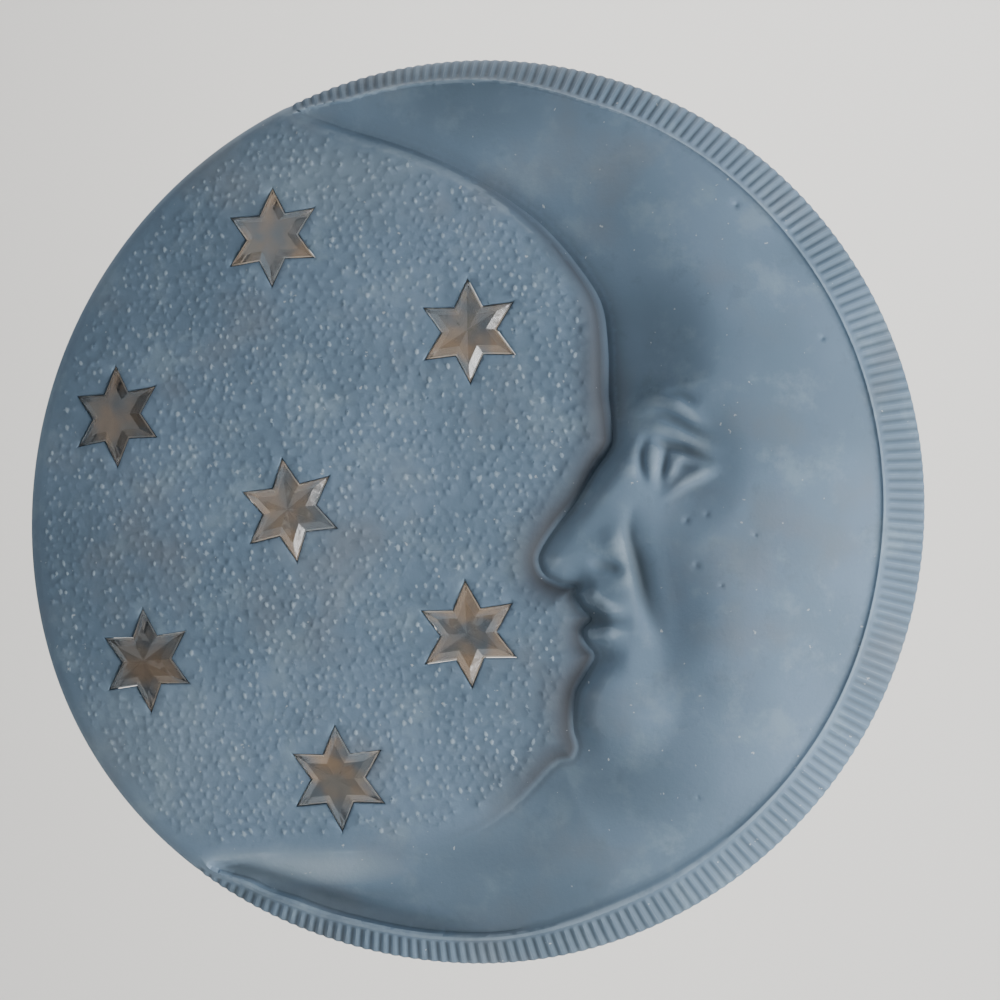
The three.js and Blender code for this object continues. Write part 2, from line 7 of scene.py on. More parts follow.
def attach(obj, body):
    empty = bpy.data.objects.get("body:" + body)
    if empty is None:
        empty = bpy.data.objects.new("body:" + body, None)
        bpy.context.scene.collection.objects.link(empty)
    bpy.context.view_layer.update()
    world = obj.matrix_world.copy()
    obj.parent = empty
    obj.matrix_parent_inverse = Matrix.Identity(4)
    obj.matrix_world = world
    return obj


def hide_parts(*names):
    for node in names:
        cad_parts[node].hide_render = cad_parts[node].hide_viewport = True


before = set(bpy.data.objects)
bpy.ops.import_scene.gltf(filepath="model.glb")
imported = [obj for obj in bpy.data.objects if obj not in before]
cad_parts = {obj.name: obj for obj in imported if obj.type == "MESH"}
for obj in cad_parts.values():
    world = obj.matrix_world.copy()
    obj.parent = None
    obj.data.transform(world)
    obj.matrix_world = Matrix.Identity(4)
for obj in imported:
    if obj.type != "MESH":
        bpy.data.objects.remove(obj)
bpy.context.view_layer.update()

# Moon casting: the shape
# The body is cast stone, poured in one piece into a rubber mould from a carved pattern. The sky's bumps, the
# face and the reeded rim are part of the same casting. Sizes are millimetres, x to the right and z up from
# the plaque's middle, and heights are measured from the wall.
plaque_diameter = 300
outline_bulge, outline_bulge_at = 1.2, 208
horn_inset, horn_inset_at = 1.3, 256
outline_wave_spread = 22
outer_edge_height = 4
sky_edge_height = 8
sky_crown_height = 23.5
sky_dome_reach = 110
sky_edge_roll = 5
crescent_crown_height = 28
crescent_dome_reach = 48
crescent_full_width = 85
dome_power = 2.2
rise_power = 2
wall_thickness = 6
wall_evening, wall_evening_at_seam, wall_evening_reach = 5, 20, 30
roof_smoothing = 4
plaque_middle = np.array([-5.0, -101.0])

# The seam runs from the upper horn down the sky's edge, along the profile and round to the lower horn.
upper_sky_edge = [(-58.2, 135.1), (-41.2, 128.1), (-20, 120.4), (-2.7, 112.6), (14.5, 101.9), (27.9, 91.2),
                  (39.5, 77.6), (47.1, 64.9), (49.2, 50.4), (49.5, 35.7), (50.9, 24.9)]
nose_line = [(51, 18), (45.8, 10), (39.6, -0.6), (33.4, -8), (29, -14.4), (27.4, -18.8), (29.2, -23.6),
             (34.6, -26.6), (40, -27.8)]
lip_line = [(39.4, -30), (41.2, -34.4), (44.6, -38), (42, -41.2), (42.2, -45), (45.4, -49.6)]
chin_line = [(43.2, -54.9), (39.9, -60.5), (38.5, -67.2), (38.6, -73.6), (39.8, -79.2), (38, -83)]
lower_sky_edge = [(33.3, -84.3), (21, -96.4), (7.8, -105.9), (-10.5, -111.3), (-35.9, -113), (-56.2, -113.8),
                  (-72.5, -114.7), (-84.9, -116.8)]
# Along the seam: its floor, the width of the sky's rounded edge, and the width over which the crescent rises
# again, or in the lower horn sinks further
seam_stretches = [(0, 8, 5, 10), (0.12, 11, 5, 24), (0.25, 12.5, 4.5, 38), (0.355, 13, 5, 38),
                  (0.42, 18.6, 7, 12), (0.46, 20.2, 9, 9), (0.53, 20, 9.5, 8), (0.6, 19.2, 11, 8.5),
                  (0.66, 18.8, 10, 9), (0.8, 17.2, 7, 32), (0.886, 15.2, 6, 12), (0.95, 12.6, 5, 9),
                  (1, 9, 4, 6)]


def smooth(t):
    c = np.clip(t, 0, 1)
    return c * c * (3 - 2 * c)


def mix(a, b, t):
    return a + (b - a) * t


def turned(angle, start):
    return np.mod(angle - start, 360) + start


def read_rows(rows, place):
    table = np.array(sorted(rows), float)
    at = np.clip(np.searchsorted(table[:, 0], place) - 1, 0, len(table) - 2)
    low, high = table[at], table[at + 1]
    share = smooth((place - low[..., 0]) / (high[..., 0] - low[..., 0]))
    return [mix(low[..., k], high[..., k], share) for k in range(1, table.shape[1])]


def curve_through(knots, per_span):
    """A centripetal Catmull-Rom curve through the knots."""
    p = np.array(knots, float)
    p = np.vstack([2 * p[0] - p[1], p, 2 * p[-1] - p[-2]])
    made = []
    for k in range(1, len(p) - 2):
        x0, x1, x2, x3 = p[k - 1], p[k], p[k + 1], p[k + 2]
        d0, d1, d2 = [np.sqrt(np.hypot(*(b - a))) for a, b in ((x0, x1), (x1, x2), (x2, x3))]
        m1 = ((x1 - x0) / d0 - (x2 - x0) / (d0 + d1) + (x2 - x1) / d1) * d1
        m2 = ((x2 - x1) / d1 - (x3 - x1) / (d1 + d2) + (x3 - x2) / d2) * d1
        for t in np.arange(per_span) / per_span:
            made.append(x1 + m1 * t + (3 * (x2 - x1) - 2 * m1 - m2) * t**2 + (2 * (x1 - x2) + m1 + m2) * t**3)
    made.append(p[-2])
    return np.array(made)


def nearest_on(line, x, z):
    """How far each place is from a line, and how far along the line as a share of its length."""
    steps = np.hypot(*(line[1:] - line[:-1]).T)
    starts = np.concatenate([[0], np.cumsum(steps)])
    off = np.full(x.shape, np.inf)
    share = np.zeros(x.shape)
    for a, b, step, start in zip(line[:-1], line[1:], steps, starts):
        d = b - a
        t = np.clip(((x - a[0]) * d[0] + (z - a[1]) * d[1]) / step**2, 0, 1)
        here = np.hypot(x - a[0] - t * d[0], z - a[1] - t * d[1])
        nearer = here < off
        off[nearer] = here[nearer]
        share[nearer] = (start + t[nearer] * step) / starts[-1]
    return off, share


def inside(loop, x, z):
    """Which places lie inside a closed line."""
    odd = np.zeros(x.shape, bool)
    for (ax, az), (bx, bz) in zip(loop, np.roll(loop, -1, axis=0)):
        if az != bz:
            crosses = (az > z) != (bz > z)
            odd ^= crosses & (x < ax + (z - az) / (bz - az) * (bx - ax))
    return odd


def outline_radius(angle):
    def wave(at):
        return np.exp(-((turned(angle - at, -180) / outline_wave_spread) ** 2))

    return plaque_diameter / 2 + outline_bulge * wave(outline_bulge_at) - horn_inset * wave(horn_inset_at)


def within_outline(x, z):
    """How far each place lies inside the outline."""
    return outline_radius(np.degrees(np.arctan2(z, x))) - np.hypot(x, z)


# The crescent's side of the seam is closed by an arc well outside the plaque, from horn to horn
seam_knots = upper_sky_edge + nose_line + lip_line + chin_line + lower_sky_edge
seam = curve_through(seam_knots, 10)
lower_horn_angle, upper_horn_angle, outer_arc_radius = -126, 113, 190
far_right = np.radians(np.linspace(lower_horn_angle, upper_horn_angle, 60))
crescent_side = np.vstack([seam, outer_arc_radius * np.stack([np.cos(far_right), np.sin(far_right)], -1)])

# The reeded rim. At each angle: the width of the band, the width of the smooth bead along its inner edge, and
# the height of the inner edge. A trough runs beside the bead into the lower horn. The flutes are worn shallow
# at the right, and they cut the outline itself only lightly.
rim_start, rim_end = 113.5, -126.5
flute_pitch = 3.35
flute_depth = 1.0
rim_wear, rim_worn_at, rim_wear_spread = 0.45, 8, 24
flute_unevenness = 0.15
flute_share_at_outline = 0.25
flute_outer_height = 5
bead_rise = 0.7
reed_fullness, flute_run_out = 0.8, 1.2
rim_over_sky = 2
rim_band = [(113, 4.6, 0.8, 8), (105, 8, 1, 10.5), (88, 9.2, 1, 13), (70, 12, 1.2, 13.5),
            (30, 13.3, 1.4, 13.5), (-6, 13.2, 1.5, 13.5), (-35, 12.4, 2, 13.5), (-66, 13.2, 3.6, 13.5),
            (-86, 10, 2.2, 12), (-101, 9.8, 2.4, 10.4), (-112, 9, 2.8, 9.4), (-119, 7.4, 2.6, 8.6),
            (-126, 4, 1.8, 7)]
trough_depth, trough_width, trough_off_bead = 4, 4.5, 3
trough_start, trough_full = -78, -104
flutes = round(np.radians(rim_start - rim_end) * plaque_diameter / 2 / flute_pitch)


def rim_at(angle):
    return read_rows(rim_band, turned(angle, -180))


def reed(angle):
    """The section of the reeds: 1 on a reed's crest and 0 in the groove between two."""
    phase = np.mod((turned(angle, rim_end) - rim_end) / (rim_start - rim_end) * flutes, 1)
    return (0.5 - 0.5 * np.cos(2 * np.pi * phase)) ** reed_fullness


def groove(angle):
    """The depth cut beside the reeds, which is less where the rim is worn, most of all at the right."""
    worn = rim_wear * np.exp(-((turned(angle - rim_worn_at, -180) / rim_wear_spread) ** 2))
    uneven = flute_unevenness * np.sin(np.radians(angle * 5)) ** 2
    return flute_depth * (1 - worn - uneven) * (1 - reed(angle))


def on_rim(angle):
    return turned(angle, rim_end) <= rim_start


# The face: ridges and grooves along short lines, each with its width and its rise, below zero for a groove
face_lines = [
    ("nose", [(64.5, 30), (56, 8), (49.4, -6.1), (41.4, -20)], 15, 5.2),
    ("nostril wing", [(49.4, -7), (54.2, -15.6), (52.4, -22.6)], 5, 1.2),
    ("nostril", [(43, -20.4), (50.5, -21.6), (57, -24.4)], 2.4, -1.5),
    ("cheek fold", [(62.7, 2.4), (58.8, -5.2), (58.6, -12), (60.6, -20.6), (63, -32.1), (66.4, -42.6),
                    (72.4, -54)], 3.8, -1.8),
    ("crease in the fold", [(61.5, 0), (58, -6), (57.8, -13), (59.6, -21), (62, -32), (65.4, -42)],
     1.7, -1.3),
    ("front of the cheek", [(68, 0), (64.6, -9), (64.8, -20), (68, -32), (73, -44), (80, -56)], 11, -2.6),
    ("brow", [(53, 24), (61.5, 31), (69.2, 31), (76.2, 27), (86, 20)], 3.3, 1.9),
    ("groove over the brow", [(66, 33.4), (73.6, 33.2), (81, 29)], 2.2, -1.2),
    ("groove under the brow", [(59, 26), (68.7, 26.6), (77.2, 22), (87, 16)], 2.2, -1.4),
    ("upper lid", [(61.6, 22.6), (71.5, 21.4), (79, 18), (89.6, 13)], 2.5, 1.1),
    ("line under the lid", [(59.4, 20), (68, 17.6), (76.4, 15), (87.6, 9.9)], 1.8, -1.6),
    ("front of the eye", [(63, 22.4), (61.8, 12), (63.8, 2.6)], 1.7, -1.6),
    ("back of the iris", [(69.2, 19.4), (68.8, 11), (66.6, 3)], 1.4, -1.3),
    ("white of the eye", [(69, 3), (72.4, 10.4), (75, 15.6)], 1.6, 0.9),
    ("wedge in the eye", [(70, 12), (75, 10.2), (81, 9.6)], 1.8, -0.8),
    ("lower lid", [(66, -2), (73.4, 3.6), (79.8, 6.9), (89, 10)], 2.3, 1.5),
    ("upper lip", [(39, -25.4), (47.6, -33.4), (58, -36.8)], 3.4, 2.6),
    ("mouth", [(40, -38), (51.8, -38.6), (60, -39.8)], 2.6, -1.5),
    ("lower lip", [(39, -42.2), (49.8, -42.8), (58, -43.2)], 3.8, 1.2),
    ("hollow under the lip", [(40, -49.4), (49, -50.2), (58, -51.6)], 5, -2),
]
# Rounded swellings and hollows, each an oval: its middle, half its width and height, and its rise
face_forms = [
    ("cheek", (94, -16), (38, 48), 1.8),
    ("mouth", (54, -38), (20, 26), 2.4),
    ("side of the nose", (52, -8.1), (14, 22), -1.2),
    ("eye socket", (73, 8), (26, 24), -2.4),
    ("iris", (65.4, 11.2), (5, 10), 1.3),
    ("eyeball", (76, 10), (12, 8), 1.4),
    ("chin", (52.5, -66), (22, 22), 4),
    ("jaw", (68, -72), (30, 28), -1.8),
    ("forehead", (62.4, 53.7), (28, 38), -1.6),
]
face_slope, face_slope_reach = 5, 48
line_fade, line_cut_off, form_power = 0.45, 2.5, 2


def carved(lines, x, z):
    height = np.zeros(x.shape)
    for _, knots, width, rise in lines:
        line = curve_through(knots, 8)
        lo, hi = line.min(0) - line_cut_off * width, line.max(0) + line_cut_off * width
        near = (x > lo[0]) & (x < hi[0]) & (z > lo[1]) & (z < hi[1])
        off, share = nearest_on(line, x[near], z[near])
        fade = smooth(share / line_fade) * smooth((1 - share) / line_fade)
        height[near] += rise * np.exp(-((off / width) ** 2)) * fade
    return height


def swollen(forms, x, z):
    height = np.zeros(x.shape)
    for _, at, half, rise in forms:
        round_part = 1 - ((x - at[0]) / half[0]) ** 2 - ((z - at[1]) / half[1]) ** 2
        height += rise * np.clip(round_part, 0, 1) ** form_power
    return height


def sky_height(x, z):
    inward = np.clip(within_outline(x, z), 0, None)
    dome = 1 - (1 - np.clip(inward / sky_dome_reach, 0, 1)) ** dome_power
    roll = np.sqrt(1 - (1 - np.clip(inward / sky_edge_roll, 0, 1)) ** 2)
    return mix(outer_edge_height, sky_edge_height, roll) + (sky_crown_height - sky_edge_height) * dome


def front_height(x, z, reeded=True):
    """The casting's front: the sky's dome, the crescent with its face, and the rim, without the fine skin."""
    angle, radius = np.degrees(np.arctan2(z, x)), np.hypot(x, z)
    edge = outline_radius(angle)
    width, bead, inner = rim_at(angle)
    off, share = nearest_on(seam, x, z)
    seam_floor, sky_fall, crescent_rise = read_rows(seam_stretches, share)
    in_crescent = inside(crescent_side, x, z)

    sky = sky_height(x, z)
    t = np.clip(off / sky_fall, 0, 1)
    sky = mix(np.minimum(seam_floor, sky), sky, 1 - (1 - t) ** rise_power)

    inward = np.clip(edge - width - radius, 0, None)
    fullness = smooth((inward + off) / crescent_full_width)
    dome = 1 - (1 - np.clip(inward / crescent_dome_reach, 0, 1)) ** dome_power
    slope = face_slope * (1 - smooth(off / face_slope_reach))
    carving = carved(face_lines, x, z) + swollen(face_forms, x, z)
    into_horn = smooth((trough_start - turned(angle, -180)) / (trough_start - trough_full))
    trough = trough_depth * into_horn * np.exp(-(((inward - trough_off_bead) / trough_width) ** 2))
    crescent = inner + (crescent_crown_height - inner) * dome * fullness
    crescent = crescent - trough + (carving - slope) * fullness
    t = np.clip(off / crescent_rise, 0, 1)
    crescent = mix(seam_floor, crescent, 1 - (1 - t) ** rise_power)

    # The reeds round over from the bead to the outline, and the bead stands a little above both sides
    from_edge = edge - radius
    reach = np.maximum(width - bead, 0.5)
    reeds = mix(flute_outer_height, inner, np.clip(from_edge / reach, 0, 1) ** reed_fullness)
    grooves = groove(angle) * smooth((reach - from_edge) / flute_run_out) * reeded
    on_bead = np.clip((from_edge - reach) / bead, 0, 1)
    beaded = np.where(from_edge < reach, reeds - grooves, inner + bead_rise * np.sin(np.pi * on_bead))
    banded = on_rim(angle) & (from_edge < width) & (in_crescent | (from_edge < width - 0.3))
    height = np.where(in_crescent, crescent, sky)
    return np.where(banded, np.minimum(beaded, np.where(in_crescent, beaded, sky + rim_over_sky)), height)


# Moon casting: the skin's small forms
# The mould carries the pattern's stippled ground over the sky: rounded bumps 1 to 3 mm across and longer
# upward, most of them leaning a little. The crescent is smooth but for a few air pits from the casting.
stipple_pitch = 3.4
stipple_radius = (0.75, 1.3)
stipple_rise = (0.15, 0.42)
stipple_stretch = (1.2, 2.3)
stipple_lean = (-10, 14)
stipple_missing = 0.1
stipple_scatter = 0.55
stipple_off_edge, stipple_off_seam, stipple_off_star = 6.5, 6, 0.3
stipple_lowest = -109.5
pit_softness = 0.62
air_pits = [((91.4, 95.6), 1.5, -0.9), ((118.8, 51.0), 1.3, -0.8), ((79.4, -21.8), 1.7, -0.7),
            ((76.2, -7.4), 1.4, -0.6), ((82.8, -5.7), 1.3, -0.5), ((98.0, -12.5), 1.0, -0.5),
            ((87.4, -28.3), 0.9, -0.4), ((78.3, -95.0), 1.0, -0.4)]
star_tips = 6
star_radius = 17
star_notch_share = 0.53
star_gap = 0.3
near_star = 24
star_places = {
    "star_top_left": ((-63, 90), 3),
    "star_top_right": ((4.9, 55.8), 2),
    "star_far_left": ((-117.1, 31.4), 3.5),
    "star_centre": ((-54.9, -1.7), 9),
    "star_low_left": ((-105.2, -50.5), 4),
    "star_mid_right": ((4.9, -42.7), 4),
    "star_bottom": ((-38.9, -89.2), 2.5),
}
chance = np.random.default_rng(12)


def star_seat(at, lean):
    """The place of a star: on the sky, square to its slope, and turned by its own lean."""
    step = 2.0
    x = at[0] + np.array([0, step, -step, 0, 0])
    z = at[1] + np.array([0, 0, 0, step, -step])
    h = sky_height(x, z)
    outward = Vector((-(h[1] - h[2]) / (2 * step), -1, -(h[3] - h[4]) / (2 * step))).normalized()
    turn = Vector((0, -1, 0)).rotation_difference(outward).to_matrix().to_4x4()
    return Matrix.Translation((at[0], -h[0], at[1])) @ turn @ Matrix.Rotation(np.radians(-lean), 4, "Y")


def star_outline(radius, per_side=1):
    """A six-pointed star, with each of its sides cut into equal steps."""
    turns = np.pi / 2 + np.arange(star_tips * 2) * np.pi / star_tips
    reach = np.where(np.arange(star_tips * 2) % 2 == 0, radius, radius * star_notch_share)
    corners = np.stack([reach * np.cos(turns), reach * np.sin(turns)], -1)
    return np.vstack([mix(a, b, k / per_side) for a, b in zip(corners, np.roll(corners, -1, 0))
                      for k in range(per_side)])


def onto(surface, seat, flat):
    """Carries a flat outline along the star's axis onto a surface, and gives x and z of each point."""
    depth = np.zeros(len(flat))
    turn = np.array(seat)
    for _ in range(4):
        local = np.stack([flat[:, 0], depth, flat[:, 1], np.ones(len(flat))], -1)
        placed = local @ turn.T
        depth += -placed[:, 1] - surface(placed[:, 0], placed[:, 2])
    return placed[:, [0, 2]]


def honeycomb(pitch, box):
    (x0, x1), (z0, z1) = box
    rows = int((z1 - z0) / (pitch * 0.866)) + 1
    columns = int((x1 - x0) / pitch) + 1
    x, row = np.meshgrid(np.arange(columns), np.arange(rows))
    return np.stack([x0 + (x + (row % 2) / 2) * pitch, z0 + row * pitch * 0.866], -1).reshape(-1, 2)


def away_from(points, others, least):
    """Keeps the points that stay the least distance away from all the others."""
    taken = {}
    for x, z in others:
        taken.setdefault((int(x // least), int(z // least)), []).append((x, z))
    kept = []
    for x, z in points:
        i, j = int(x // least), int(z // least)
        near = (q for di in (-1, 0, 1) for dj in (-1, 0, 1) for q in taken.get((i + di, j + dj), ()))
        if all((x - qx) ** 2 + (z - qz) ** 2 >= least**2 for qx, qz in near):
            kept.append((x, z))
    return np.array(kept).reshape(-1, 2)


def on_circle(angle, radius):
    return np.stack([np.cos(np.radians(angle)) * radius, np.sin(np.radians(angle)) * radius], -1)


def loop_edges(start, count, closed=True):
    return [(start + k, start + (k + 1) % count) for k in range(count if closed else count - 1)]


# Moon casting: the mesh
# The front follows the forms above, with more points where the carving is fine. Behind its wall the casting
# is hollow and plain, as poured, with a round pad near the top that takes the nail.
hollow_middle, hollow_radius = np.array([-5.0, 0.0]), 136.0
pad_middle, pad_radius = np.array([5.0, 111.0]), 17
nail_hole_radius, nail_hole_depth = 4, 7
hollow_draft, pad_chamfer, opening_round = 0.6, 0.6, 0.35
sharp_from = 42
face_step, crescent_step, sky_step, roof_step = 0.85, 1.7, 1.9, 3.6

# The outline first: six points a flute along the crescent, and even steps round the sky
phases = np.array([0, 0.1, 0.27, 0.5, 0.73, 0.9])
rim_angles = rim_end + (np.arange(flutes)[:, None] + phases).ravel() / flutes * (rim_start - rim_end)
rim_angles = np.append(rim_angles, rim_start)
sky_angles = np.linspace(rim_start, rim_end + 360, 110)[1:-1]
edge_angles = np.concatenate([rim_angles, sky_angles])
edge_loop = on_circle(edge_angles, outline_radius(edge_angles)
                      - flute_share_at_outline * np.where(on_rim(edge_angles), groove(edge_angles), 0))

rim_width, rim_bead, _ = rim_at(rim_angles)
rim_rows = [on_circle(rim_angles, outline_radius(rim_angles) - (rim_width - rim_bead) * share
                      - groove(rim_angles) * (1 - share))
            for share in (0.1, 0.32, 0.6, 0.86, 0.97)]
bead_angles = rim_angles[::2]
bead_width, bead_bead, _ = rim_at(bead_angles)
bead_rows = [on_circle(bead_angles, outline_radius(bead_angles) - bead_width + bead_bead * share)
             for share in (0.85, 0.5, 0.15, -0.3)]
sky_rows = [on_circle(sky_angles, outline_radius(sky_angles) - inward) for inward in (0.3, 0.9, 1.8, 3.2, 5)]

# The seam and lines beside it, then the star openings with a slightly rounded edge
seam_run = curve_through(seam_knots, 7)
heading = np.gradient(seam_run, axis=0)
across = np.stack([-heading[:, 1], heading[:, 0]], -1) / np.hypot(*heading.T)[:, None]
beside_seam = np.vstack([seam_run + across * off for off in (-4.2, -3, -2, -1.2, -0.5, 0.5, 1.2, 2, 3)])
star_seats = {name: star_seat(*place) for name, place in star_places.items()}
opening_flat = star_outline(star_radius + star_gap * 2, 5)
opening_loops = [onto(sky_height, seat, opening_flat) for seat in star_seats.values()]
opening_lips = [onto(sky_height, seat, star_outline(star_radius + star_gap * 2 + lip, 5))
                for seat in star_seats.values() for lip in (0.7, 1.6)]

fixed = np.vstack([edge_loop, seam_run, *opening_loops])
firm = np.vstack([fixed, *rim_rows, *bead_rows, *sky_rows, *opening_lips])
beside_seam = away_from(beside_seam, firm, 0.45)
beside_seam = beside_seam[within_outline(*beside_seam.T) > 2]
firm = np.vstack([firm, beside_seam])

# The stipple: each bump is a top, a shoulder and a foot
sky_box = ((-150, 70), (-130, 140))
bumps = honeycomb(stipple_pitch, sky_box)
bumps = (bumps + chance.normal(0, stipple_scatter, bumps.shape))[chance.random(len(bumps)) > stipple_missing]
bump_radius = chance.uniform(*stipple_radius, len(bumps))
bump_rise = chance.uniform(*stipple_rise, len(bumps)) * bump_radius / stipple_radius[1]
bump_stretch = chance.uniform(*stipple_stretch, len(bumps))
bump_lean = np.radians(chance.normal(*stipple_lean, len(bumps)))
bump_tone = chance.uniform(0, 1, len(bumps)) ** 1.3
seam_off, _ = nearest_on(seam, *bumps.T)
bump_edge = within_outline(*bumps.T)
clear = ~inside(crescent_side, *bumps.T) & (bump_edge > stipple_off_edge)
clear &= (seam_off > stipple_off_seam) & (bumps[:, 1] > stipple_lowest)
for lips in opening_lips[1::2]:
    middle = lips.mean(0)
    close = clear & (np.hypot(*(bumps - middle).T) < near_star)
    off, _ = nearest_on(np.vstack([lips, lips[:1]]), *bumps[close].T)
    covered = inside(lips, *bumps[close].T) | (off < bump_radius[close] + stipple_off_star)
    clear[np.flatnonzero(close)[covered]] = False
bumps = bumps[clear]
bump_radius, bump_rise, bump_stretch, bump_lean, bump_tone = [
    values[clear] for values in (bump_radius, bump_rise, bump_stretch, bump_lean, bump_tone)]
bump_points, bump_heights = [bumps], [bump_rise]
bump_sides = 6
for share, lift in ((0.55, 0.68), (1, 0)):
    for k in range(bump_sides):
        turn = 2 * np.pi * (k + 0.25 * bump_sides) / bump_sides + chance.uniform(-0.2, 0.2, len(bumps))
        along, wide = np.sin(turn) * np.sqrt(bump_stretch), np.cos(turn) / np.sqrt(bump_stretch)
        arm = np.stack([wide * np.cos(bump_lean) + along * np.sin(bump_lean),
                        along * np.cos(bump_lean) - wide * np.sin(bump_lean)], -1)
        bump_points.append(bumps + arm * (share * bump_radius)[:, None])
        bump_heights.append(bump_rise * lift)
bump_points, bump_heights = np.vstack(bump_points), np.concatenate(bump_heights)

# Air pits, and the smooth ground of the crescent, finer over the face
pit_points = np.vstack([np.array(at) + on_circle(np.arange(8) * 45 + turn, reach * radius)
                        for at, radius, _ in air_pits for reach, turn in ((0.05, 0), (0.5, 20), (1.1, 0))])
firm = np.vstack([firm, pit_points])
face_box = ((26, 96), (-92, 48))
face = honeycomb(face_step, face_box)
ground = honeycomb(crescent_step, ((-90, 150), (-150, 150)))
in_face = np.all([(at > low) & (at < high) for at, (low, high) in zip(ground.T, face_box)], axis=0)
ground = np.vstack([face, ground[~in_face]])
ground_angle = np.degrees(np.arctan2(ground[:, 1], ground[:, 0]))
ground_edge = within_outline(*ground.T) - np.where(on_rim(ground_angle), rim_at(ground_angle)[0] + 0.6, 5.3)
keep = (ground_edge > 0) & inside(crescent_side, *ground.T)
ground = away_from(ground[keep], firm, 0.6)
margin = honeycomb(sky_step, sky_box)
margin = margin[(within_outline(*margin.T) > 5.4) & ~inside(crescent_side, *margin.T)]
for lips in opening_lips[1::2]:
    margin = margin[~inside(lips, *margin.T)]
margin = away_from(away_from(margin, bump_points, 1.5), firm, 1.1)

front_points = np.vstack([fixed, firm[len(fixed):], bump_points, ground, margin])
bump_start = len(firm)
edges = loop_edges(0, len(edge_loop)) + loop_edges(len(edge_loop), len(seam_run), closed=False)
row_starts = [0] + [len(fixed) + k * len(rim_angles) for k in range(len(rim_rows))]
edges += [(low + k, high + k) for low, high in zip(row_starts, row_starts[1:])
          for k in range(len(rim_angles))]
opening_starts = [len(edge_loop) + len(seam_run) + k * len(opening_flat) for k in range(len(star_places))]
for start in opening_starts:
    edges += loop_edges(start, len(opening_flat))


def triangulate(points, bounds_edges):
    """The points and the triangles over them. Where two lines cross, the crossing becomes one more point."""
    made = delaunay_2d_cdt([Vector(p) for p in points], bounds_edges, [], 1, 1e-7, True)
    crossings = [tuple(place) for place, ids in zip(made[0], made[3]) if not ids]
    unused = iter(range(len(points), len(points) + len(crossings)))
    number = [ids[0] if ids else next(unused) for ids in made[3]]
    faces = np.array([[number[v] for v in f] for f in made[2]])
    return np.vstack([points, np.array(crossings).reshape(-1, 2)]), faces


def within_edge(points, faces):
    """The faces inside the plaque's edge line, without those that span the valleys between two flutes."""
    on_edge = np.flatnonzero((faces < len(edge_loop)).all(1))
    outside = on_edge[~inside(edge_loop, *points[faces[on_edge]].mean(1).T)]
    return np.delete(faces, outside, axis=0)


front_points, front_faces = triangulate(front_points, edges)
front_faces = within_edge(front_points, front_faces)
for loop in opening_loops:
    centres = front_points[front_faces].mean(1)
    near = np.flatnonzero(np.hypot(*(centres - loop.mean(0)).T) < near_star)
    gone = near[inside(loop, *centres[near].T)]
    front_faces = np.delete(front_faces, gone, axis=0)

height = front_height(*front_points.T)
height[bump_start:bump_start + len(bump_points)] += bump_heights
for at, radius, depth in air_pits:
    off = np.hypot(*(front_points - np.array(at)).T)
    height += depth * np.exp(-((off / (pit_softness * radius)) ** 2))
for start in opening_starts:
    height[start:start + len(opening_flat)] -= opening_round

# The bare front's heights on an even grid. The back's roof and the paint are both worked out from it
grid_step, grid_reach = 1.0, 152
grid_line = np.arange(-grid_reach, grid_reach + 1, grid_step)
grid_x, grid_z = np.meshgrid(grid_line, grid_line)
levels = front_height(grid_x.ravel(), grid_z.ravel(), reeded=False).reshape(grid_x.shape)


def blurred(levels, reach):
    weights = np.exp(-((np.arange(-3 * reach, 3 * reach + 1) / reach) ** 2))
    weights /= weights.sum()
    half = len(weights) // 2
    for axis in (0, 1):
        padded = np.pad(levels, [(half, half) if k == axis else (0, 0) for k in (0, 1)], mode="edge")
        levels = np.apply_along_axis(lambda row: np.convolve(row, weights, "valid"), axis, padded)
    return levels


def read_grid(values, x, z):
    i, j = (z + grid_reach) / grid_step, (x + grid_reach) / grid_step
    i0, j0 = [np.clip(k.astype(int), 0, len(grid_line) - 2) for k in (i, j)]
    lower, upper = [mix(values[row, j0], values[row, j0 + 1], j - j0) for row in (i0, i0 + 1)]
    return mix(lower, upper, i - i0)


# The back: the roof of the hollow keeps the wall's thickness under the lowest front near each place, in all
# directions alike, and is smoothed, as the inside of a poured and scraped casting is
seam_distance, _ = nearest_on(seam, grid_x.ravel(), grid_z.ravel())
off_seam = smooth(seam_distance.reshape(grid_x.shape) / wall_evening_reach)
evening = mix(wall_evening_at_seam, wall_evening, off_seam)
lowest = levels
for turn in np.arange(32) * np.pi / 16:
    for reach in (evening, evening / 2):
        beside_x = np.clip(grid_x + reach * np.cos(turn), 1 - grid_reach, grid_reach - 1)
        beside_z = np.clip(grid_z + reach * np.sin(turn), 1 - grid_reach, grid_reach - 1)
        lowest = np.minimum(lowest, read_grid(levels, beside_x, beside_z))
roof_levels = np.maximum(blurred(lowest, roof_smoothing) - wall_thickness, 1)

hollow_angles = np.arange(180) * 2
hollow_rim = hollow_middle + on_circle(hollow_angles, hollow_radius)
roof_rim = hollow_middle + on_circle(hollow_angles, hollow_radius - hollow_draft)
pad_angles = np.arange(48) * 7.5
pad_root = pad_middle + on_circle(pad_angles, pad_radius)
roof_openings = [onto(lambda x, z: sky_height(x, z) - wall_thickness, seat, opening_flat)
                 for seat in star_seats.values()]
roof_fill = honeycomb(roof_step, ((-141, 131), (-136, 136)))
roof_fill = roof_fill[np.hypot(*(roof_fill - hollow_middle).T) < hollow_radius - 3]
roof_fill = roof_fill[np.hypot(*(roof_fill - pad_middle).T) > pad_radius + 1.5]
for loop in roof_openings:
    roof_fill = roof_fill[~inside(loop, *roof_fill.T)]
roof_fill = away_from(roof_fill, np.vstack(roof_openings), 1.2)
roof_points = np.vstack([roof_rim, pad_root, *roof_openings, roof_fill])
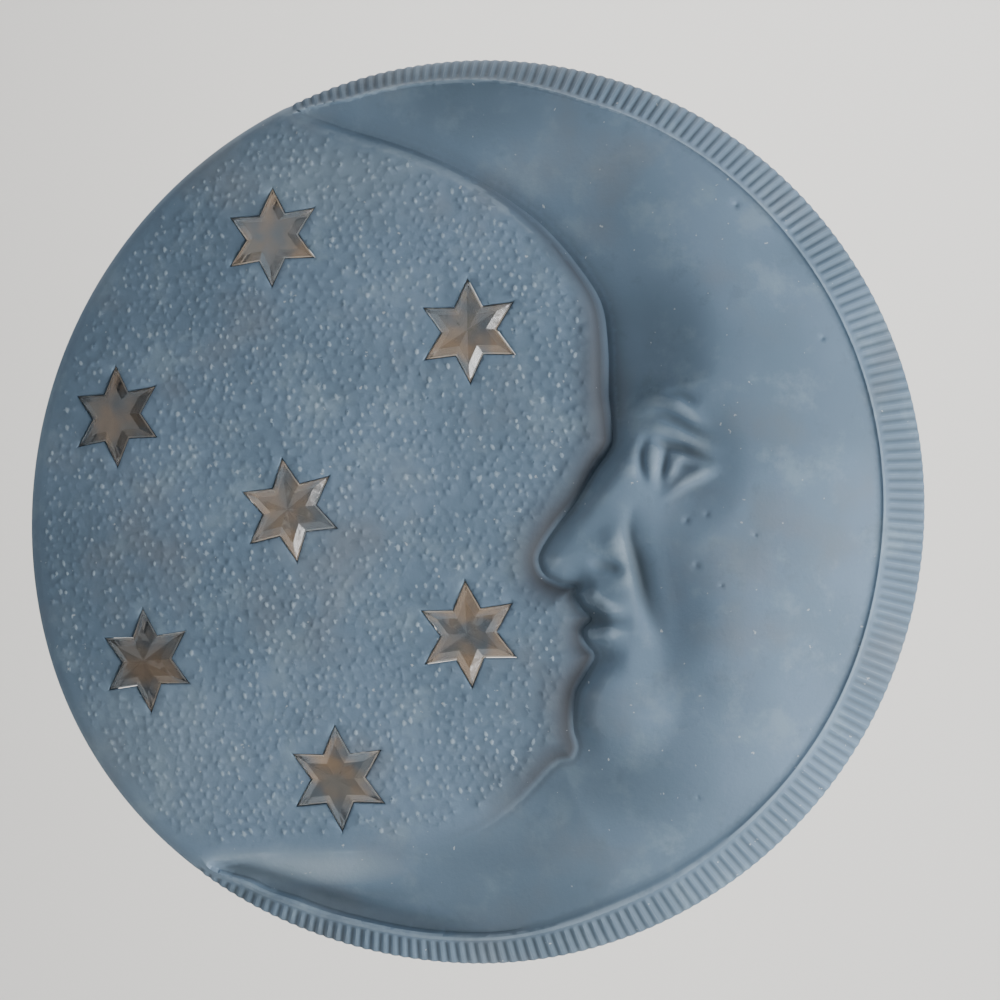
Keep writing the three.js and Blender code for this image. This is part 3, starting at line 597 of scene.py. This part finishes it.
roof_edges = loop_edges(0, len(roof_rim)) + loop_edges(len(roof_rim), len(pad_root))
roof_starts = [len(roof_rim) + len(pad_root) + k * len(opening_flat) for k in range(len(star_places))]
for start in roof_starts:
    roof_edges += loop_edges(start, len(opening_flat))
roof_points, roof_faces = triangulate(roof_points, roof_edges)
centres = roof_points[roof_faces].mean(1)
gone = np.hypot(*(centres - pad_middle).T) < pad_radius * 0.997
for loop in roof_openings:
    near = np.flatnonzero(np.hypot(*(centres - loop.mean(0)).T) < near_star)
    gone[near[inside(loop, *centres[near].T)]] = True
roof_faces = roof_faces[~gone]
roof = read_grid(roof_levels, *roof_points.T)

seat_points = np.vstack([edge_loop, hollow_rim])
seat_edges = loop_edges(0, len(edge_loop)) + loop_edges(len(edge_loop), len(hollow_rim))
seat_points, seat_faces = triangulate(seat_points, seat_edges)
seat_faces = within_edge(seat_points, seat_faces)
# The ring that touches the wall: a face with all its corners on the hollow's rim would lie over the hollow
seat_faces = seat_faces[(seat_faces < len(edge_loop)).any(1)]

corners, polygons = [], []


def add_points(flat, heights):
    start = sum(len(c) for c in corners)
    corners.append(np.stack([flat[:, 0], -np.broadcast_to(heights, len(flat)), flat[:, 1]], -1))
    return start


def add_strip(first, second, count):
    """Four-sided faces between two loops of equal length. Seen from outside, the first runs to the left."""
    for k in range(count):
        n = (k + 1) % count
        polygons.append((first + k, second + k, second + n, first + n))


front_start = add_points(front_points, height)
polygons += [tuple(front_start + f) for f in front_faces]
seat_start = add_points(seat_points, 0)
polygons += [tuple(seat_start + f[::-1]) for f in seat_faces]
add_strip(front_start, seat_start, len(edge_loop))
roof_start = add_points(roof_points, roof)
polygons += [tuple(roof_start + f[::-1]) for f in roof_faces]
add_strip(seat_start + len(edge_loop), roof_start, len(hollow_rim))
for front_loop, roof_loop in zip(opening_starts, roof_starts):
    add_strip(roof_start + roof_loop, front_start + front_loop, len(opening_flat))
pad_step = add_points(pad_root, pad_chamfer)
pad_face = add_points(pad_middle + on_circle(pad_angles, pad_radius - pad_chamfer), 0)
hole_mouth = add_points(pad_middle + on_circle(pad_angles, nail_hole_radius), 0)
hole_end = add_points(pad_middle + on_circle(pad_angles, nail_hole_radius), nail_hole_depth)
hole_floor = add_points(pad_middle[None], nail_hole_depth)
add_strip(roof_start + len(roof_rim), pad_step, len(pad_angles))
add_strip(pad_step, pad_face, len(pad_angles))
add_strip(pad_face, hole_mouth, len(pad_angles))
add_strip(hole_mouth, hole_end, len(pad_angles))
polygons += [(a, hole_floor, b) for a, b in loop_edges(hole_end, len(pad_angles))]

points = np.vstack(corners)
points[:, 0] += plaque_middle[0]
points[:, 2] += plaque_middle[1]
casting_mesh = bpy.data.meshes.new("moon casting")
casting_mesh.from_pydata((points / 1000).tolist(), [], polygons)
casting_mesh.validate()
casting_mesh.shade_smooth()
casting_mesh.set_sharp_from_angle(angle=np.radians(sharp_from))
moon_casting = bpy.data.objects.new("moon_casting_stone", casting_mesh)
bpy.context.collection.objects.link(moon_casting)

# How far each place stands out of its surroundings, for the paint's worn tops and for its hollows, which are
# darkened with dirt and painted shade: the bare front's heights less the same heights blurred over a few
# millimetres. The smooth strip along the edge and the reeds get no more than a little wear, and the grooves
# between the reeds are darkened with dirt and painted shade.
fine_reach, fine_span, most_fine = 2, 0.6, 0.4
broad_reach, broad_span = 8, 2.5
wear_on_edges, wear_on_reeds, painted_shade_at_bumps = 0.2, 0.35, -0.2
front_angle = np.degrees(np.arctan2(front_points[:, 1], front_points[:, 0]))
front_inward = within_outline(*front_points.T)
front_band, front_bead, _ = rim_at(front_angle)
on_flutes = on_rim(front_angle) & (front_inward < front_band - front_bead)
on_crescent = inside(crescent_side, *front_points.T)
seam_off, seam_share = nearest_on(seam, *front_points.T)
fine = np.clip(read_grid(levels - blurred(levels, fine_reach), *front_points.T) / fine_span, -1, most_fine)
fine[front_inward < 4] = np.minimum(fine[front_inward < 4], wear_on_edges)
reeded = mix(-1, wear_on_reeds, reed(front_angle)) * smooth(front_band - front_bead - front_inward)
fine = np.where(on_flutes, reeded, fine)
# The bumps' tops are rubbed paler at random, and a ring round each foot is darkened as painted shade
fine[bump_start:bump_start + len(bump_points)] = np.concatenate(
    [bump_tone, *[0.7 * bump_tone] * bump_sides, *[np.full(len(bumps), painted_shade_at_bumps)] * bump_sides])
# The rounded edges of the star openings get a little paler paint: wear, and a painted highlight along the lip
for start in opening_starts:
    fine[start:start + len(opening_flat)] = wear_on_edges
broad = np.clip(read_grid(levels - blurred(levels, broad_reach), *front_points.T) / broad_span, -1, 1)
broad[front_inward < 6] = np.maximum(broad[front_inward < 6], -0.1)
# A painted shadow, with some dirt, lies on the sky's falling edge along the seam, and a little on the
# crescent's side. Along the seam: how far it reaches over the sky, and how much is there
seam_shadow_rows = [(0, 1.5, 0), (0.14, 2.5, 0.4), (0.28, 5, 1), (0.36, 8.5, 1), (0.41, 9, 1), (0.45, 8, 0.85),
             (0.485, 9, 1), (0.53, 9, 1), (0.57, 8, 0.7), (0.61, 9, 1), (0.68, 9, 1), (0.72, 8, 0.85),
             (0.78, 4, 0.3), (0.83, 2, 0)]
crescent_seam_shadow_reach, foot_seam_shadow, foot_shadow_fade_width = 1.2, 0.2, 2
seam_shadow_reach, seam_shadow_share = read_rows(seam_shadow_rows, seam_share)
seam_shadow = seam_shadow_share * np.exp(-((seam_off / np.where(on_crescent, crescent_seam_shadow_reach, seam_shadow_reach)) ** 2))
seam_shadow *= mix(foot_seam_shadow, 1, smooth(seam_off / foot_shadow_fade_width))
fine = np.where(seam_shadow > 0.3, np.minimum(fine, 0), fine)
# The narrow foot of the seam is in its own deep shade, so less painted shade and dirt are laid into it
foot_width, foot_fine, foot_broad = 2.5, -0.3, -0.35
at_foot = seam_off < foot_width
fine[at_foot] = np.maximum(fine[at_foot], foot_fine)
broad[at_foot] = np.maximum(broad[at_foot], foot_broad)
# Broad patches painted paler and darker: painted light on the lower horn's slope and at the sky's top and
# lower left, and painted shade at the top, bottom and left, under the chin and in the lower horn's trough.
# Each: its name, the middle, half the width and height, and how much
painted_light_and_shade_patches = [
    ("painted light at the sky's top", (-45, 112), (60, 30), 0.45),
    ("painted light at the sky's lower left", (-105, -78), (45, 40), 0.35),
    ("painted shade at the sky's left", (-125, -5), (45, 50), -0.3),
    ("painted highlight on the lower horn's slope", (-50, -118.5), (52, 9), 1.0),
    ("painted shadow in the lower horn's trough", (-58, -127.5), (52, 5.5), -0.8),
    ("painted shade at the upper horn", (5, 134), (80, 24), -0.8),
    ("painted shade under the upper rim", (62, 104), (50, 34), -0.35),
    ("painted shade under the chin", (38, -90), (42, 30), -0.95),
    ("painted shade below the sky", (8, -112), (34, 14), -0.6),
    ("painted shade at the foot", (25, -132), (85, 30), -0.9),
    ("painted shade low on the crescent", (78, -90), (48, 36), -0.35),
    ("painted shade on the upper rim", (20, 143), (66, 10), -0.4),
    ("painted shade on the forehead", (60, 52), (30, 40), -0.45),
    ("painted shade on the lips", (50, -34), (16, 18), -0.7),
]
# Painted shade along the face's creases and on the ridge beside the cheek fold: each a name, the line, its
# width and how much
painted_shade_lines = [
    ("painted shade in the cheek fold", [(60, -1), (58.8, -12), (60.6, -21), (63, -32), (67, -44)], 3.4, -0.9),
    ("painted shade on the ridge beside the fold", [(57, 1), (55.6, -12), (57, -22), (59.5, -33)], 3.4, -0.5),
    ("painted shade over the eye", [(60, 20), (68, 18), (77, 15), (86, 10)], 2.4, -0.5),
    ("painted shade between the lips", [(40, -38.6), (48, -38.8), (56, -39.6)], 2.2, -0.7),
]
painted_light_and_shade_level = swollen(painted_light_and_shade_patches, *front_points.T) + carved(painted_shade_lines, *front_points.T)
behind = np.zeros(len(points) - len(front_points))
for name, values in (("fine relief", fine), ("broad relief", broad),
                     ("painted seam shadow", seam_shadow), ("painted light and shade", painted_light_and_shade_level)):
    stored = casting_mesh.attributes.new(name, "FLOAT", "POINT")
    stored.data.foreach_set("value", np.concatenate([values, behind]).astype(np.float32))


# Painted cast stone: a matt blue-grey masonry paint rubbed over the porous casting. It gives a chalky face
# with paler, rubbed tops, dirt and painted shade in the recesses, broad patches of painted light and shade, a
# painted shadow beside the seam, and slow changes of tone where the coat is thinner.
def linear(hex_colour):
    parts = [int(hex_colour[k:k + 2], 16) / 255 for k in (1, 3, 5)]
    return tuple(p / 12.92 if p <= 0.04045 else ((p + 0.055) / 1.055) ** 2.4 for p in parts) + (1,)


def add_node(material, kind, settings, links_in):
    """Adds a node with its settings, fills its inputs with values and joins them to other nodes' outputs."""
    node = material.node_tree.nodes.new(kind)
    for name, value in settings.items():
        setattr(node, name, value)
    for name, value in links_in.items():
        socket = node.inputs[name]
        if isinstance(value, bpy.types.NodeSocket):
            material.node_tree.links.new(value, socket)
        else:
            socket.default_value = value
    return node


def new_material(name):
    material = bpy.data.materials.new(name)
    material.use_nodes = True
    material.node_tree.nodes.clear()
    return material


def pattern_scale(millimetres):
    """The noise scale that gives features of about this size when it is fed with metres."""
    return 1000 / millimetres


painted_stone = new_material("blue-grey paint on cast stone")
place = add_node(painted_stone, "ShaderNodeTexCoord", {}, {}).outputs["Object"]
fine_relief, broad_relief, seam_shadow_paint, tone = [
    add_node(painted_stone, "ShaderNodeAttribute", {"attribute_name": name}, {}).outputs["Fac"]
    for name in ("fine relief", "broad relief", "painted seam shadow", "painted light and shade")]

# Each layer of the coat: the size of its patches in millimetres, how fine and how broken their edges are, the
# span of the noise over which they fade in, how strongly they cover, and their colour
coat = linear("#5F7488")
for millimetres, detail, rough, low, high, cover, colour in (
        (60, 3, 0.5, 0.35, 0.65, 1.0, "#6B8197"),
        (14, 5, 0.6, 0.5, 0.72, 0.55, "#7D92A2"),
        (9, 6, 0.65, 0.45, 0.3, 0.3, "#566776"),
        (35, 4, 0.5, 0.5, 0.75, 0.45, "#707377")):
    patches = add_node(painted_stone, "ShaderNodeTexNoise", {}, {
        "Vector": place, "Scale": pattern_scale(millimetres), "Detail": detail, "Roughness": rough})
    share = add_node(painted_stone, "ShaderNodeMapRange", {"interpolation_type": "SMOOTHSTEP"}, {
        "Value": patches.outputs["Fac"], "From Min": low, "From Max": high, "To Max": cover})
    coat = add_node(painted_stone, "ShaderNodeMix", {"data_type": "RGBA"}, {
        0: share.outputs["Result"], 6: coat, 7: linear(colour)}).outputs[2]

# Broad patches of painted light and shade, then dirt and painted shade in the small and the broad hollows,
# then the painted shadow beside the seam
for relief, low, high, cover, colour in (
        (tone, 0, 1.0, 0.7, "#93A5B3"), (tone, 0, -1.0, 0.62, "#465562"),
        (fine_relief, -0.1, -0.9, 0.5, "#46525B"), (broad_relief, -0.1, -1.0, 0.5, "#4A555E"),
        (seam_shadow_paint, 0, 1.0, 1.0, "#383B41")):
    share = add_node(painted_stone, "ShaderNodeMapRange", {}, {
        "Value": relief, "From Min": low, "From Max": high, "To Max": cover})
    coat = add_node(painted_stone, "ShaderNodeMix", {"data_type": "RGBA"}, {
        0: share.outputs["Result"], 6: coat, 7: linear(colour)}).outputs[2]

# The tops are rubbed pale, unevenly, and small pale specks are scattered over all
rubbed = add_node(painted_stone, "ShaderNodeTexNoise", {}, {
    "Vector": place, "Scale": pattern_scale(6), "Detail": 3})
rubbed = add_node(painted_stone, "ShaderNodeMapRange", {"interpolation_type": "SMOOTHSTEP"}, {
    "Value": rubbed.outputs["Fac"], "From Min": 0.35, "From Max": 0.6, "To Min": 0.45, "To Max": 1.0})
tops = add_node(painted_stone, "ShaderNodeMapRange", {"interpolation_type": "SMOOTHSTEP"}, {
    "Value": fine_relief, "From Min": 0.1, "From Max": 0.85})
worn = add_node(painted_stone, "ShaderNodeMath", {"operation": "MULTIPLY"}, {
    0: tops.outputs["Result"], 1: rubbed.outputs["Result"]})
coat = add_node(painted_stone, "ShaderNodeMix", {"data_type": "RGBA"}, {
    0: worn.outputs["Value"], 6: coat, 7: linear("#99ABBA")}).outputs[2]
specks = add_node(painted_stone, "ShaderNodeTexNoise", {}, {
    "Vector": place, "Scale": pattern_scale(2.2), "Detail": 2})
specks = add_node(painted_stone, "ShaderNodeMapRange", {"interpolation_type": "SMOOTHSTEP"}, {
    "Value": specks.outputs["Fac"], "From Min": 0.735, "From Max": 0.77, "To Max": 0.5})
coat = add_node(painted_stone, "ShaderNodeMix", {"data_type": "RGBA"}, {
    0: specks.outputs["Result"], 6: coat, 7: linear("#C4C9CB")}).outputs[2]
pores = add_node(painted_stone, "ShaderNodeTexNoise", {}, {
    "Vector": place, "Scale": pattern_scale(1.6), "Detail": 6, "Roughness": 0.7})
grain = add_node(painted_stone, "ShaderNodeBump", {}, {
    "Strength": 0.35, "Distance": 0.0004, "Height": pores.outputs["Fac"]})
skin = add_node(painted_stone, "ShaderNodeBsdfPrincipled", {}, {
    "Base Color": coat, "Roughness": 0.72, "IOR": 1.48, "Specular IOR Level": 0.38,
    "Normal": grain.outputs["Normal"]})
add_node(painted_stone, "ShaderNodeOutputMaterial", {}, {"Surface": skin.outputs["BSDF"]})
casting_mesh.materials.append(painted_stone)
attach(moon_casting, "root")
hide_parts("moon_casting")

# Star inserts
# Seven six-pointed stars of clear cast glass, faceted from the centre to each tip and notch. Each drops into
# its own opening through the casting and is bonded by its edge, so one looks through it into the hollow back.
# The table is smooth, the bevels are scuffed by handling, and the ground edges catch the light.
star_thickness, star_crown, star_sink, star_bevel = 5.5, 1.8, 0.5, 0.45
star_table_share, star_table_height = 0.66, 1.3
star_edge_lift = (0.05, -0.1)

# The slate and brown smoky tint of the clear glass is partly painted shade: it darkens the stars to stand for
# the shaded hollow seen through them
star_finishes = []
for name, slate, brown, rough, wave_size, wave_height in (
        ("clear cast glass, smoky with painted shade", "#474F57", "#6E6052", 0.06, 9, 0.0008),
        ("scuffed bevels of the cast glass", "#788088", "#95897F", 0.26, 4, 0.0006),
        ("ground edges of the cast glass", "#C6CBCE", "#CFCBC4", 0.4, 3, 0.0004)):
    glass = new_material(name)
    place = add_node(glass, "ShaderNodeTexCoord", {}, {}).outputs["Object"]
    waves = add_node(glass, "ShaderNodeTexNoise", {}, {
        "Vector": place, "Scale": pattern_scale(wave_size), "Detail": 2})
    ripple = add_node(glass, "ShaderNodeBump", {}, {
        "Strength": 0.5, "Distance": wave_height, "Height": waves.outputs["Fac"]})
    seen = add_node(glass, "ShaderNodeTexNoise", {}, {
        "Vector": place, "Scale": pattern_scale(15), "Detail": 2})
    seen = add_node(glass, "ShaderNodeMapRange", {"interpolation_type": "SMOOTHSTEP"}, {
        "Value": seen.outputs["Fac"], "From Min": 0.42, "From Max": 0.58})
    tint = add_node(glass, "ShaderNodeMix", {"data_type": "RGBA"}, {
        0: seen.outputs["Result"], 6: linear(slate), 7: linear(brown)}).outputs[2]
    # Some stars are tinted towards near black, a painted shade for the deeper shade of the hollow behind them
    depth = add_node(glass, "ShaderNodeAttribute", {"attribute_name": "painted shade behind"}, {}).outputs["Fac"]
    tint = add_node(glass, "ShaderNodeMix", {"data_type": "RGBA"}, {
        0: depth, 6: tint, 7: linear("#15191C")}).outputs[2]
    clear = add_node(glass, "ShaderNodeBsdfPrincipled", {}, {
        "Base Color": tint, "Roughness": rough, "IOR": 1.5, "Transmission Weight": 1.0,
        "Normal": ripple.outputs["Normal"]})
    add_node(glass, "ShaderNodeOutputMaterial", {}, {"Surface": clear.outputs["BSDF"]})
    star_finishes.append(glass)

# How much painted shade darkens the glass of some stars, for the deeper shade of the hollow behind them
painted_shade_behind = {"star_far_left": 0.5, "star_low_left": 0.4}
to_part = Matrix.Translation((plaque_middle[0] / 1000, 0, plaque_middle[1] / 1000)) @ Matrix.Scale(0.001, 4)
for name, seat in star_seats.items():
    rim = star_outline(star_radius)
    inner = star_outline(star_radius - star_bevel * 2)
    table = star_outline(star_radius * star_table_share)
    rings = [(table, star_table_height), (inner, -star_sink + star_edge_lift[0]),
             (rim, -star_sink + star_edge_lift[1]),
             (rim, -star_thickness + star_bevel), (inner, -star_thickness)]
    made = [(0, -star_crown, 0)]
    for flat, lift in rings:
        made += [(x, -lift, z) for x, z in flat]
    made.append((0, star_thickness, 0))
    n = star_tips * 2
    faces = [(0, a, b) for a, b in loop_edges(1, n)]
    for ring in range(len(rings) - 1):
        a, b = 1 + ring * n, 1 + (ring + 1) * n
        faces += [(a + k, b + k, b + (k + 1) % n, a + (k + 1) % n) for k in range(n)]
    last = len(made) - 1
    faces += [(last, b, a) for a, b in loop_edges(last - n, n)]
    star_mesh = bpy.data.meshes.new(name)
    star_mesh.from_pydata([tuple(to_part @ seat @ Vector(p)) for p in made], [], faces)
    for glass in star_finishes:
        star_mesh.materials.append(glass)
    # The first ring of faces round the table is the bevels, and the next, a narrow one, is the ground edge
    finish = [(k // n) * (n <= k < 3 * n) for k in range(len(faces))]
    star_mesh.polygons.foreach_set("material_index", finish)
    stored = star_mesh.attributes.new("painted shade behind", "FLOAT", "POINT")
    stored.data.foreach_set("value", [painted_shade_behind.get(name, 0)] * len(made))
    star = bpy.data.objects.new(name + "_glass", star_mesh)
    bpy.context.collection.objects.link(star)
    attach(star, "root")
    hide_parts(name)

# Studio
# A pale floor that sweeps up behind the hanging plaque, a pale room, a broad soft light from the right, a
# weak one from the left, and one that lights the sweep.
floor_level, bend_start, bend_radius = -0.62, 2.2, 0.8
sweep = [(-6, floor_level), (bend_start, floor_level)]
sweep += [(bend_start + bend_radius * np.sin(t), floor_level + bend_radius * (1 - np.cos(t)))
          for t in np.radians(np.arange(9, 91, 9))]
sweep.append((bend_start + bend_radius, 4))
floor_mesh = bpy.data.meshes.new("studio floor")
floor_mesh.from_pydata([(x, y, z) for y, z in sweep for x in (-5, 5)], [], [
    (2 * k, 2 * k + 1, 2 * k + 3, 2 * k + 2) for k in range(len(sweep) - 1)])
floor_mesh.shade_smooth()
floor_paint = new_material("pale floor paint")
matt = add_node(floor_paint, "ShaderNodeBsdfPrincipled", {}, {
    "Base Color": linear("#DAD8D4"), "Roughness": 0.9})
add_node(floor_paint, "ShaderNodeOutputMaterial", {}, {"Surface": matt.outputs["BSDF"]})
floor_mesh.materials.append(floor_paint)
floor = bpy.data.objects.new("studio floor", floor_mesh)
bpy.context.collection.objects.link(floor)

room = bpy.data.worlds.new("pale room")
room.use_nodes = True
room.node_tree.nodes["Background"].inputs["Color"].default_value = linear("#E4E7EA")
room.node_tree.nodes["Background"].inputs["Strength"].default_value = 0.3
bpy.context.scene.world = room

for name, at, towards, size, power in (
        ("window light", (1.3, -0.58, -0.5), (0, 0, -0.1), 0.7, 50),
        ("fill light", (-0.9, -1.2, 0.5), (0, 0, -0.1), 1.4, 6.5),
        ("backdrop light", (0, 0.7, 1.4), (0.2, 3, -0.3), 1.6, 120)):
    lamp = bpy.data.lights.new(name, "AREA")
    lamp.size, lamp.energy = size, power
    light = bpy.data.objects.new(name, lamp)
    light.location = at
    light.rotation_euler = (Vector(towards) - Vector(at)).to_track_quat("-Z", "Y").to_euler()
    bpy.context.collection.objects.link(light)

# The camera stands 900 mm from the plaque, a little to its right and low, as in the photograph
aim = Vector((0.0082, -0.012, -0.0996))
azimuth, elevation, distance = np.radians(10.679), np.radians(-5.04), 0.9
camera_data = bpy.data.cameras.new("camera")
camera_data.lens, camera_data.sensor_width = 99.19, 36
camera = bpy.data.objects.new("camera", camera_data)
out = Vector((np.sin(azimuth) * np.cos(elevation), -np.cos(azimuth) * np.cos(elevation), np.sin(elevation)))
camera.location = aim + out * distance
camera.rotation_euler = (-out).to_track_quat("-Z", "Y").to_euler()
bpy.context.collection.objects.link(camera)
bpy.context.scene.camera = camera
